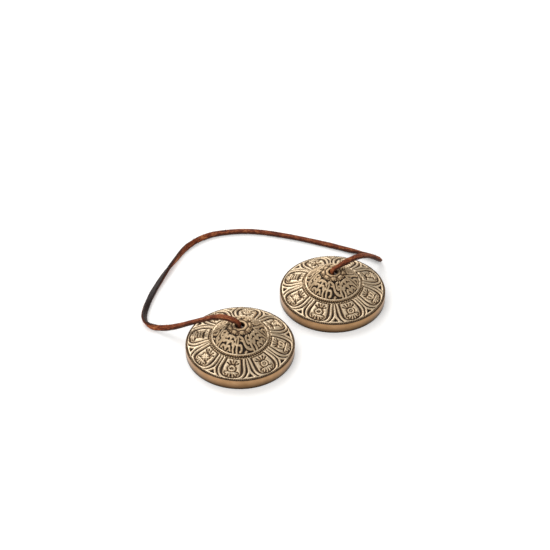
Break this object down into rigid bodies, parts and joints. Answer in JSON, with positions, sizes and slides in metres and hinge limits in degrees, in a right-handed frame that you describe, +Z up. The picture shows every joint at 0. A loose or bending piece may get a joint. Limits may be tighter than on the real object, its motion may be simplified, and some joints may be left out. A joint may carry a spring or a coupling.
{
  "type": "finger cymbals",
  "caption": "Two small thick embossed bronze hand cymbals joined by one leather strap that is knotted inside each dome.",
  "frame": {"origin": "midway between the two cymbals, on the surface that their striking edges rest on", "axes": "+X through both holes from the left cymbal to the right, +Y towards the loop of the strap, +Z up out of the domes"},
  "size_m": [0.1548, 0.1306, 0.0262],
  "materials": {
    "bronze": "cast bell bronze, worn pale on the raised relief, dark brown patina in the recesses, turned side wall",
    "leather": "red-brown flat lace leather, waxed grain side, darker raw edges and flesh side"
  },
  "bodies": {
    "cymbal_left": {"cymbal_left": "bronze"},
    "knot_left": {"knot_left": "leather"},
    "strap": {"strap": "leather"},
    "knot_right": {"knot_right": "leather"},
    "cymbal_right": {"cymbal_right": "bronze"}
  },
  "joints": [
    {"name": "left_spin", "type": "hinge", "parent": "cymbal_left", "child": "knot_left", "pos_m": [-0.0372, 0, 0.0228], "axis": [0, 0, 1], "continuous": true},
    {"name": "strap_lift", "type": "hinge", "parent": "knot_left", "child": "strap", "pos_m": [-0.0372, 0, 0.0228], "axis": [1, 0, 0], "range_deg": [0, 90]},
    {"name": "right_level", "type": "hinge", "parent": "strap", "child": "knot_right", "pos_m": [0.0372, 0, 0.0228], "axis": [1, 0, 0], "range_deg": [-90, 0]},
    {"name": "right_spin", "type": "hinge", "parent": "knot_right", "child": "cymbal_right", "pos_m": [0.0372, 0, 0.0228], "axis": [0, 0, 1], "continuous": true}
  ],
  "couplings": [
    {"joint": "right_level", "follows": "strap_lift", "ratio": -1}
  ]
}
